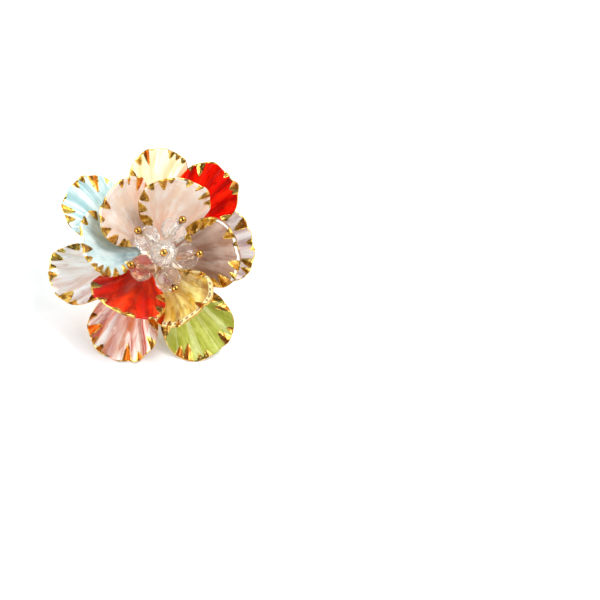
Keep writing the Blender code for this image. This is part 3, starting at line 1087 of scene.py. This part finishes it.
CREAM = enamel("cream", (250, 243, 184), (255, 254, 242), (238, 216, 136), (240, 244, 206),
               0.6, 0.5, 14, 0.5, 1.0, 0.6)
SCARLET = enamel("scarlet", (234, 6, 0), (250, 38, 8), (142, 0, 0), (242, 18, 1),
                 0.5, 0.25, 12, 0.5, 2.0, 0.75, 0.55, mottling=0.5, gloss=0.05)
MAUVE = enamel("mauve", (208, 181, 173), (248, 243, 241), (168, 132, 128), (222, 208, 204),
               0.6, 0.5, 12, 0.5, 3.0, 0.7)
LEAF = enamel("leaf", (162, 165, 50), (204, 211, 112), (130, 137, 32), (184, 189, 76),
              0.6, 0.35, 11, 0.5, 4.0, 0.2, 0.4, mottling=0.7, gloss=0.28)
CORAL = enamel("coral", (224, 142, 92), (255, 252, 243), (202, 74, 28), (250, 228, 210),
               0.75, 0.5, 9, 0.5, 5.0, 0.95, 0.5)
BLUSH_WHITE = enamel("blush_white", (244, 250, 246), (255, 255, 255), (224, 180, 158), (250, 218, 204),
                     0.6, 0.5, 11, 0.4, 6.0, 0.5, 0.5)
ICE = enamel("ice", (166, 210, 212), (240, 250, 252), (124, 184, 188), (204, 232, 233),
             0.6, 0.5, 12, 0.5, 7.0, 0.65)
ROSE = enamel("rose", (246, 212, 184), (255, 246, 238), (232, 174, 146), (248, 200, 178),
              0.6, 0.35, 7, 0.6, 8.0, 0.25, 0.1, band=0.6, mottling=0.5, gloss=0.5)
# A darker copy of the rose enamel for the left rose petal, which the key light strikes more: painted shade.
ROSE_PAINTED_SHADE = enamel("rose_painted_shade", (232, 207, 183), (244, 241, 236), (219, 170, 146), (234, 195, 177),
                    0.6, 0.35, 7, 0.6, 8.0, 0.25, 0.1, band=0.6, mottling=0.5, gloss=0.5)
SKY = enamel("sky", (200, 229, 234), (238, 250, 251), (104, 154, 164), (220, 236, 226),
             0.5, 0.35, 7, 0.65, 9.0, 0.25, 0.15, band=0.7, mottling=0.4, gloss=0.6)
VERMILION = enamel("vermilion", (211, 16, 0), (249, 68, 12), (124, 3, 0), (236, 42, 1),
                   0.7, 0.3, 8, 0.65, 10.0, 0.7, 0.5, mottling=0.35, gloss=0.25)
AMBER = enamel("amber", (204, 151, 14), (252, 236, 148), (140, 74, 0), (230, 182, 50),
               0.7, 0.28, 8, 0.75, 11.0, 0.75, 0.45, band=0.95, mottling=0.55, gloss=0.9,
               chain=0.75, strip=0.085, rim=linear(250, 240, 178))
THISTLE = enamel("thistle", (161, 115, 89), (213, 184, 168), (136, 85, 62), (185, 144, 123),
                 0.6, 0.4, 9, 0.6, 12.0, 0.35, 0.3, band=0.9, mottling=0.4, gloss=0.3)

# A drip row's fourth number, where given, is its painted orange reflection.
PETALS = (
    Petal("yellow", "cream", Tier.OUTER, 86, 3, 8, 5, 8, 0.0, 0.99, 0.94, CREAM, drips(
        (-0.75, 0.12, 0.052), (-0.40, 0.06, 0.039), (-0.29, 0.07, 0.039), (-0.15, 0.09, 0.052),
        (0.31, 0.19, 0.046, 1.0), (0.47, 0.09, 0.058), (0.69, 0.10, 0.039), (0.90, 0.10, 0.052)), 11, 0.8),
    Petal("red", "red", Tier.OUTER, 50, 6, 2, 0, 8, 1.0, 1.05, 0.94, SCARLET, drips(
        (-0.75, 0.10, 0.052), (-0.36, 0.08, 0.039), (-0.27, 0.11, 0.065, 0.5), (-0.03, 0.06, 0.033, 0.2),
        (0.45, 0.14, 0.052), (0.60, 0.05, 0.039), (0.85, 0.10, 0.052)), 12),
    Petal("lilac", "lilac", Tier.OUTER, 10, 3, -8, 9, 8, 0.0, 0.92, 1.10, MAUVE, drips(
        (-0.72, 0.09, 0.039), (-0.47, 0.12, 0.046), (-0.34, 0.16, 0.065), (-0.12, 0.06, 0.039, 0.2),
        (-0.02, 0.07, 0.046), (0.27, 0.19, 0.072, 0.5), (0.80, 0.14, 0.065)), 13, 0.7),
    Petal("green", "green", Tier.OUTER, -56, 0, 6, 3, 6, 0.0, 1.06, 1.05, LEAF, drips(
        (-0.85, 0.14, 0.065), (-0.55, 0.12, 0.055, 0.7), (-0.42, 0.19, 0.062, 0.65), (-0.24, 0.07, 0.046),
        (-0.12, 0.08, 0.052), (0.26, 0.16, 0.065, 0.3), (0.42, 0.08, 0.039, 0.2), (0.71, 0.16, 0.055, 0.2),
        (0.85, 0.17, 0.065, 0.1)), 41, 0.6),
    Petal("coral", "coral", Tier.OUTER, -113, 0, 6, 0, 6, 0.2, 1.00, 1.00, CORAL, drips(
        (-0.72, 0.08, 0.039, 0.4), (-0.53, 0.19, 0.065, 0.95), (-0.37, 0.09, 0.033, 0.6),
        (-0.22, 0.09, 0.046, 0.8), (0.24, 0.19, 0.058, 0.95), (0.44, 0.10, 0.052, 0.7),
        (0.69, 0.15, 0.052, 0.2), (0.90, 0.13, 0.072, 0.6)), 53),
    Petal("white", "white", Tier.OUTER, -166, 0, 6, 0, 6, 0.0, 0.97, 0.88, BLUSH_WHITE, drips(
        (-0.75, 0.10, 0.078), (-0.57, 0.08, 0.039), (-0.42, 0.15, 0.058), (-0.24, 0.07, 0.039),
        (-0.08, 0.10, 0.058, 0.1), (0.40, 0.16, 0.078), (0.56, 0.07, 0.046, 0.4), (0.79, 0.10, 0.065)), 16),
    Petal("blue", "blue", Tier.OUTER, 142, 2, 6, 0, 6, 0.2, 0.98, 0.92, ICE, drips(
        (-0.65, 0.07, 0.039), (-0.43, 0.21, 0.065, 0.35), (-0.25, 0.08, 0.039), (-0.11, 0.08, 0.052),
        (0.39, 0.16, 0.058), (0.54, 0.11, 0.052), (0.85, 0.10, 0.052)), 17),
    Petal("rose_right", "rose", Tier.INNER, 77, 12, 13, 38, 22, 0.6, 0.89, 1.15, ROSE, drips(
        (-0.58, 0.09, 0.039), (-0.43, 0.16, 0.065, 0.1), (-0.24, 0.10, 0.039), (-0.07, 0.09, 0.058),
        (0.20, 0.07, 0.052), (0.33, 0.19, 0.072, 0.1), (0.52, 0.10, 0.052), (0.72, 0.18, 0.08),
        (0.88, 0.14, 0.08), (1.02, 0.15, 0.09, 0.1), (1.20, 0.14, 0.09, 0.1), (1.37, 0.10, 0.07)),
        18, 0.4, -0.6, 0.00002, 0.4),
    # The left rose petal takes the darker copy of the rose enamel: painted shade.
    Petal("rose_left", "rose", Tier.INNER, 131, 12, 15, 25, 22, 0.5, 0.89, 1.12, ROSE_PAINTED_SHADE, drips(
        (-0.70, 0.08, 0.039, 0.3), (-0.53, 0.18, 0.065, 0.5), (-0.31, 0.10, 0.033, 0.2),
        (-0.15, 0.10, 0.052), (0.27, 0.17, 0.065, 0.1), (0.51, 0.10, 0.052), (0.70, 0.18, 0.07),
        (0.88, 0.18, 0.09, 0.1), (1.05, 0.13, 0.08), (1.27, 0.10, 0.078)), 19, 0.4, -0.5, 0.00002, 0.4),
    Petal("blue", "blue", Tier.INNER, 175, 12, 17, 32, 22, 0.0, 0.97, 1.02, SKY, drips(
        (-0.60, 0.14, 0.078), (-0.29, 0.10, 0.058), (0.18, 0.19, 0.065, 0.1), (0.36, 0.13, 0.046),
        (0.50, 0.10, 0.05), (0.61, 0.16, 0.06), (0.74, 0.17, 0.065), (0.88, 0.13, 0.065),
        (1.04, 0.11, 0.06), (1.35, 0.10, 0.052)), 20, 0.4, -0.5, 0.00002, 0.4),
    Petal("red", "red", Tier.INNER, 237, 14, 17, 40, 22, 0.0, 0.91, 1.12, VERMILION, drips(
        (-0.90, 0.10, 0.065, 0.5), (-0.62, 0.15, 0.065), (-0.27, 0.11, 0.065), (-0.02, 0.05, 0.078),
        (0.17, 0.10, 0.078), (0.72, 0.14, 0.078), (0.93, 0.12, 0.078, 0.2)), 21, 0.6, -0.4, 0.00003, 0.5),
    Petal("yellow", "yellow", Tier.INNER, 302, 14, 16, 48, 22, 0.0, 0.87, 1.00, AMBER, drips(
        (-0.82, 0.12, 0.065), (-0.65, 0.19, 0.058, 0.9), (-0.44, 0.10, 0.039), (-0.28, 0.11, 0.039, 0.1),
        (0.20, 0.20, 0.052, 0.45), (0.85, 0.13, 0.058, 0.1), (1.05, 0.12, 0.065)),
        22, 0.5, -0.8, 0.00002, 0.4),
    Petal("lilac", "lilac", Tier.INNER, 7, 13, 14, 44, 22, 0.0, 0.93, 1.07, THISTLE, drips(
        (-0.74, 0.14, 0.075), (-0.58, 0.19, 0.09, 0.2), (-0.38, 0.10, 0.045), (-0.20, 0.16, 0.075, 0.1),
        (0.12, 0.06, 0.033), (0.29, 0.17, 0.072), (0.68, 0.13, 0.08), (0.80, 0.16, 0.12),
        (0.93, 0.15, 0.12), (1.08, 0.17, 0.08)), 23, 0.4, -0.7, 0.00002, 0.4),
)


# Beads and pins


@dataclass(frozen=True)
class Bead:
    """A cut bead on its ball-end pin. The pin heads for azimuth plus swing, leaning out by spread."""

    name: str
    azimuth: float
    spread: float
    swing: float
    glass: CutCrystal = CRYSTAL
    crown: bool = False
    radius: float = 0.0028
    length: float = 0.0042
    sides: int = 10
    table_share: float = 0.50
    shoulder_share: float = 0.86
    shoulder_height_share: float = 0.58
    softening: float = 0.00004
    wire: float = 0.00028
    ball: float = 0.0008
    knee: float = 0.0012
    pin_sides: int = 28

    def axis(self) -> np.ndarray:
        """Direction in which the pin leaves the bead, in the flower's frame.

        Returns:
            The direction, one long.
        """
        heading, spread = math.radians(self.azimuth + self.swing), math.radians(self.spread)
        return np.array([math.sin(spread) * math.cos(heading), math.sin(spread) * math.sin(heading),
                         math.cos(spread)])

    def centre(self, placing: Placing) -> np.ndarray:
        """Middle of the solid bead in the flower's frame: half way between its limits on three axes.

        Args:
            placing: where the flower lies.
        Returns:
            The middle.
        """
        mesh = frame["nodes"][f"bead_{self.name}"].data
        points = np.zeros(len(mesh.vertices) * 3)
        mesh.vertices.foreach_get("co", points)
        axes = np.stack([self.axis(), *square_to(self.axis())])
        spans = placing.back(points.reshape(-1, 3)) @ axes.T
        return (spans.min(0) + spans.max(0)) / 2 @ axes

    def hole(self) -> float:
        """Radius of the faceted hole at its corners."""
        return (self.wire + SIZES.piece_gap) / math.cos(math.pi / self.sides)

    def build(self, placing: Placing) -> bpy.types.Object:
        """The cut bead: seven rings of corners round the pin's axis, the shoulders' half a step on.

        Args:
            placing: where the flower lies.
        Returns:
            The bead's object, with softened edges.
        """
        axis, half = self.axis(), self.length / 2
        first, second = square_to(axis)
        hole, table, shoulder = self.hole(), self.radius * self.table_share, self.radius * self.shoulder_share
        level = half * self.shoulder_height_share
        radii = np.array([hole, table, shoulder, self.radius, shoulder, table, hole])
        levels = np.array([-half, -half, -level, 0, level, half, half])
        turned = np.array([0, 0, 1, 0, 1, 0, 0])
        steps = np.arange(self.sides)
        angles = 2 * math.pi * (steps + turned[:, None] / 2) / self.sides
        spokes = first * np.cos(angles)[..., None] + second * np.sin(angles)[..., None]
        points = self.centre(placing) + axis * levels[:, None, None] + spokes * radii[:, None, None]
        quads, triangles = [], []
        for ring, after in zip(range(7), [*range(1, 7), 0]):
            a, b = ring * self.sides + steps, ring * self.sides + (steps + 1) % self.sides
            c, d = after * self.sides + steps, after * self.sides + (steps + 1) % self.sides
            if turned[ring] == turned[after]:
                quads.append(np.stack([a, b, d, c], 1))
            elif turned[after]:
                triangles += [np.stack([a, b, c], 1), np.stack([b, d, c], 1)]
            else:
                triangles += [np.stack([a, b, d], 1), np.stack([a, d, c], 1)]
        item = add_mesh(f"bead_{self.name}_cut", placing.out(points.reshape(-1, 3)), np.concatenate(quads),
                        np.concatenate(triangles), smooth=False)
        soften = item.modifiers.new("softened facets", "BEVEL")
        soften.width, soften.segments, soften.limit_method = self.softening, 2, "ANGLE"
        soften.angle_limit = math.radians(12)
        return item

    def build_pin(self, placing: Placing) -> bpy.types.Object:
        """The pin: a round section carried along a path of foot, knee, straight run and ball.

        The knee is a quadratic curve between two straight runs. The ball's section grows and
        shrinks as a sine, and both ends close on the axis.

        Args:
            placing: where the flower lies.
        Returns:
            The pin's object.
        """
        axis, centre, azimuth = self.axis(), self.centre(placing), math.radians(self.azimuth)
        foot_radius = 0.0 if self.crown else 2 * (self.wire + SIZES.piece_gap)
        foot = np.array([foot_radius * math.cos(azimuth), foot_radius * math.sin(azimuth),
                         SIZES.dome_height(foot_radius) + SIZES.piece_gap + self.wire])
        knee = centre - axis * (self.length / 2 + self.knee)
        bend = corner_curve(knee + unit(foot - knee) * self.knee / 2, knee, knee + axis * self.knee / 2, 8)
        seat = math.sqrt((self.ball + SIZES.piece_gap) ** 2 - self.hole() ** 2)
        ball = centre + axis * (self.length / 2 + seat)
        angles = np.linspace(math.asin(self.wire / self.ball), math.pi, 22)[:-1]
        path = np.concatenate([[foot], bend, ball - axis * self.ball * np.cos(angles)[:, None]])
        radii = np.concatenate([np.full(1 + len(bend), self.wire), self.ball * np.sin(angles)])
        first, second = square_to(unit(np.gradient(path, axis=0)))
        turns = 2 * math.pi * np.arange(self.pin_sides)[:, None] / self.pin_sides
        rings = path[:, None] + radii[:, None, None] * (
            first[:, None] * np.cos(turns) + second[:, None] * np.sin(turns))
        ends = np.stack([foot, ball + axis * self.ball])
        return add_tube(f"pin_{self.name}_round", placing.out(rings), placing.out(ends))


BEADS = (
    # The tinted glasses paint in the refraction of the petals behind them, and the bright glass is painted
    # light.
    Bead("right", -4, 48, 14, WARM_REFRACTION_CRYSTAL),
    Bead("top", 61, 54, -6, BRIGHT_CRYSTAL),
    Bead("upper_left", 130, 58, 20),
    Bead("lower_left", 217, 62, -46, RED_REFRACTION_CRYSTAL),
    Bead("bottom", 284, 50, 14, WARM_REFRACTION_CRYSTAL),
    Bead("centre", 203, 14, 0, BRIGHT_CRYSTAL, True),
)


# Sub-assemblies


@dataclass(frozen=True)
class Base:
    """The gilt base behind the flower: the dome, and the back plate with its ear post."""

    post_radius: float = 0.00042
    post_length: float = 0.0105
    post_fillet: float = 0.0004
    tip_taper: float = 0.0007
    edge: float = 0.00015
    corner_steps: int = 4
    sides: int = 96

    def lathe(self, name: str, corners: list[tuple[float, float]], placing: Placing) -> bpy.types.Object:
        """Turn a profile about the flower's axis, its corners rounded by the edge radius.

        Args:
            name: the piece's name.
            corners: radius and height, from one end on the axis to the other.
            placing: where the flower lies.
        Returns:
            The turned piece.
        """
        path = np.array(corners)
        made = []
        for before, corner, after in zip(path, path[1:], path[2:]):
            start, stop = (corner + unit(way) * min(self.edge, np.linalg.norm(way) / 2.2)
                           for way in (before - corner, after - corner))
            made.append(corner_curve(start, corner, stop, self.corner_steps))
        radii, heights = np.concatenate(made).T[..., None, None]
        angles = 2 * math.pi * np.arange(self.sides) / self.sides
        spokes = np.stack([np.cos(angles), np.sin(angles), angles * 0], 1)
        upward = np.array([0, 0, 1.0])
        ends = path[[0, -1], 1][:, None] * upward
        return add_tube(name, placing.out(radii * spokes + heights * upward), placing.out(ends))

    def build_dome(self, placing: Placing) -> bpy.types.Object:
        """The dome: a flat back, a rounded edge and a parabola to the crown.

        Args:
            placing: where the flower lies.
        Returns:
            The dome's object.
        """
        radii = SIZES.dome_radius * np.linspace(1, 0.06, 22)
        skin = zip(radii, SIZES.dome_height(radii))
        return self.lathe("dome_gilt", [(0, 0), (SIZES.dome_radius, 0), *skin, (0, SIZES.dome_height(0))],
                          placing)

    def build_back_plate(self, placing: Placing) -> bpy.types.Object:
        """The back plate with its post: a disc, a soldered fillet, the wire and its tapered tip.

        Args:
            placing: where the flower lies.
        Returns:
            The plate's object.
        """
        top = -SIZES.piece_gap
        back = top - SIZES.plate_thick
        tip = back - self.post_length
        return self.lathe("back_plate_post_gilt", [
            (0, tip), (self.post_radius / 2, tip), (self.post_radius, tip + self.tip_taper),
            (self.post_radius, back - self.post_fillet), (self.post_radius + self.post_fillet, back),
            (SIZES.plate_radius, back), (SIZES.plate_radius, top), (0, top)], placing)

    def dress(self, placing: Placing) -> None:
        """Build the dome and the back plate in plated gold.

        Args:
            placing: where the flower lies.
        """
        pale = PolishedGold("dome_gold", 0.000015, 0.22, GILT_PALE, GILT).material()
        gold = PolishedGold("base_gold", 0.000015, 0.18).material()
        settle(self.build_dome(placing), "dome", pale)
        settle(self.build_back_plate(placing), "back_plate_post", gold)


@dataclass(frozen=True)
class Corolla:
    """All thirteen petals."""

    petals: tuple[Petal, ...] = PETALS

    def dress(self, placing: Placing) -> None:
        """Build each petal and give it its enamel.

        Args:
            placing: where the flower lies.
        """
        coats = materials([petal.enamel for petal in self.petals])
        for petal in self.petals:
            settle(petal.build(placing), f"{petal.tier.value}_petal_{petal.name}",
                   coats[petal.enamel])


@dataclass(frozen=True)
class Cluster:
    """The six beads and their pins."""

    beads: tuple[Bead, ...] = BEADS

    def dress(self, placing: Placing) -> None:
        """Build each bead in crystal and each pin in gold.

        Args:
            placing: where the flower lies.
        """
        glasses = materials([bead.glass for bead in self.beads])
        # The pins take the darker copy of the gilt: painted shade.
        gold = PolishedGold("pin_gold", 0.0000008, 0.08, GILT_PAINTED_SHADE).material()
        for bead in self.beads:
            settle(bead.build(placing), f"bead_{bead.name}", glasses[bead.glass])
            settle(bead.build_pin(placing), f"pin_{bead.name}", gold)


@dataclass(frozen=True)
class Softbox:
    """A square area light: which way it stands from the flower, in shares of right, up and near."""

    name: str
    right: float
    up: float
    near: float
    distance: float
    side: float
    radiance: float
    tint: tuple[float, float, float] = (1.0, 1.0, 1.0)

    def hang(self, middle: np.ndarray, axes: np.ndarray) -> None:
        """Hang the light so that it faces the flower.

        Args:
            middle: the flower's middle in the shared frame.
            axes: rows right, up and near.
        """
        way = unit(np.array([self.right, self.up, self.near]) @ axes)
        data = bpy.data.lights.new(self.name, "AREA")
        data.shape, data.size, data.color = "SQUARE", self.side, self.tint
        data.energy = self.radiance * math.pi * self.side ** 2
        light = bpy.data.objects.new(self.name, data)
        light.location = middle + way * self.distance
        light.rotation_mode = "QUATERNION"
        light.rotation_quaternion = Vector(way).to_track_quat("Z", "Y")
        bpy.context.scene.collection.objects.link(light)


@dataclass(frozen=True)
class Studio:
    """Camera, floor and lights."""

    sideways: float = 14.0
    downward: float = 6.0
    distance: float = 0.45
    lens: float = 135.0
    sensor: float = 36.0
    image: int = 600
    aim: tuple[float, float, float] = (0.0, 0.0, 0.011)
    aim_pixel: tuple[float, float] = (163.0, 253.0)
    floor_size: float = 4.0
    floor_gap: float = 0.00002
    room_dim: float = 0.16
    room_bright: float = 1.5
    room_through_glass: float = 0.8
    boxes: tuple[Softbox, ...] = (
        Softbox("key", 0.60, 0.75, 0.55, 0.60, 0.26, 11.5),
        Softbox("fill", -0.90, -0.10, 0.75, 0.65, 0.50, 5.3, (0.90, 0.98, 1.0)),
        Softbox("sheen", 0.50, 0.22, 0.84, 0.60, 0.14, 8.0),
    )

    def axes(self, placing: Placing) -> np.ndarray:
        """Rows right, up and near of the view of the flower, in the shared frame.

        Args:
            placing: where the flower lies.
        Returns:
            The three rows.
        """
        side, down = math.sin(math.radians(self.sideways)), math.sin(math.radians(self.downward))
        near = np.array([-side, -down, math.sqrt(1 - side ** 2 - down ** 2)])
        right = unit(np.cross((0.0, 1.0, 0.0), near))
        return np.stack([right, np.cross(near, right), near]) @ placing.rotation.T

    def add_camera(self, middle: np.ndarray, axes: np.ndarray) -> None:
        """Stand the camera so that the aimed point falls on its pixel, by turning and not by shift.

        Args:
            middle: the aimed point in the shared frame.
            axes: rows right, up and near.
        """
        data = bpy.data.cameras.new("camera")
        data.lens, data.sensor_width = self.lens, self.sensor
        data.clip_start, data.clip_end = 0.01, 20
        camera = bpy.data.objects.new("camera", data)
        bpy.context.scene.collection.objects.link(camera)
        focal = self.lens / self.sensor * self.image
        seen = Vector((self.aim_pixel[0] - self.image / 2, self.image / 2 - self.aim_pixel[1], -focal))
        spin = seen.rotation_difference(Vector((0, 0, -1))).to_matrix()
        camera.matrix_world = Matrix.Translation(middle + axes[2] * self.distance) @ (
            Matrix(axes.T.tolist()) @ spin).to_4x4()
        bpy.context.scene.camera = camera

    def add_floor(self) -> None:
        """A broad pale sheet under the flower."""
        share = np.linspace(-0.5, 0.5, 9) * self.floor_size
        x, y = np.meshgrid(share, share)
        order = np.arange(x.size).reshape(x.shape)
        low, high = order[:-1, :-1].ravel(), order[1:, :-1].ravel()
        floor = add_mesh("floor", np.stack([x, y, x * 0 - self.floor_gap], -1).reshape(-1, 3),
                         np.stack([low, low + 1, high + 1, high], 1))
        floor.data.materials.append(StudioPaper("studio_paper").material())

    def light_room(self, near: np.ndarray) -> None:
        """Light the room unevenly, with one dark side.

        The dark side is the part of the room about one fixed direction, out of the flower's face, by
        the cosine of the angle to it. What shows through the glass isn't as dark, and the camera
        sees the room as white.

        Args:
            near: the direction of the dark side.
        """
        world = bpy.data.worlds.new("room")
        world.use_nodes = True
        bpy.context.scene.world = world
        wiring = Wiring(world.node_tree)
        way = wiring.node("ShaderNodeTexCoord").outputs["Generated"]
        shade = wiring.step(wiring.noise(way, 2.4, 1.0), 0.40, 0.50)
        facing = wiring.node("ShaderNodeVectorMath", {0: way, 1: tuple(near)}, operation="DOT_PRODUCT")
        shade = wiring.times(shade, wiring.step(facing.outputs["Value"], 0.62, 0.38))
        path = wiring.node("ShaderNodeLightPath").outputs
        through = wiring.times(path["Is Transmission Ray"], self.room_through_glass)
        bright = wiring.math("MAXIMUM", shade, through)
        light = wiring.mix(bright, grey(self.room_dim), grey(self.room_bright))
        wiring.fill(world.node_tree.nodes["Background"],
                    {"Color": wiring.mix(path["Is Camera Ray"], light, grey(1.0))})

    def build(self, placing: Placing) -> None:
        """Set the whole studio up.

        Args:
            placing: where the flower lies.
        """
        middle, axes = placing.out(np.array(self.aim)), self.axes(placing)
        self.add_camera(middle, axes)
        self.add_floor()
        for box in self.boxes:
            box.hang(middle, axes)
        self.light_room(axes[2])
        bpy.context.scene.view_settings.view_transform = "Standard"


def main() -> None:
    """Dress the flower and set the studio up."""
    logging.basicConfig(level=logging.INFO, format="%(message)s")
    placing = Placing.from_mount(frame["record"]["mounts"][0])
    for assembly in (Base(), Corolla(), Cluster()):
        LOG.info("%s", type(assembly).__name__)
        assembly.dress(placing)
    Studio().build(placing)
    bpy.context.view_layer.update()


if __name__ == "__main__":
    main()
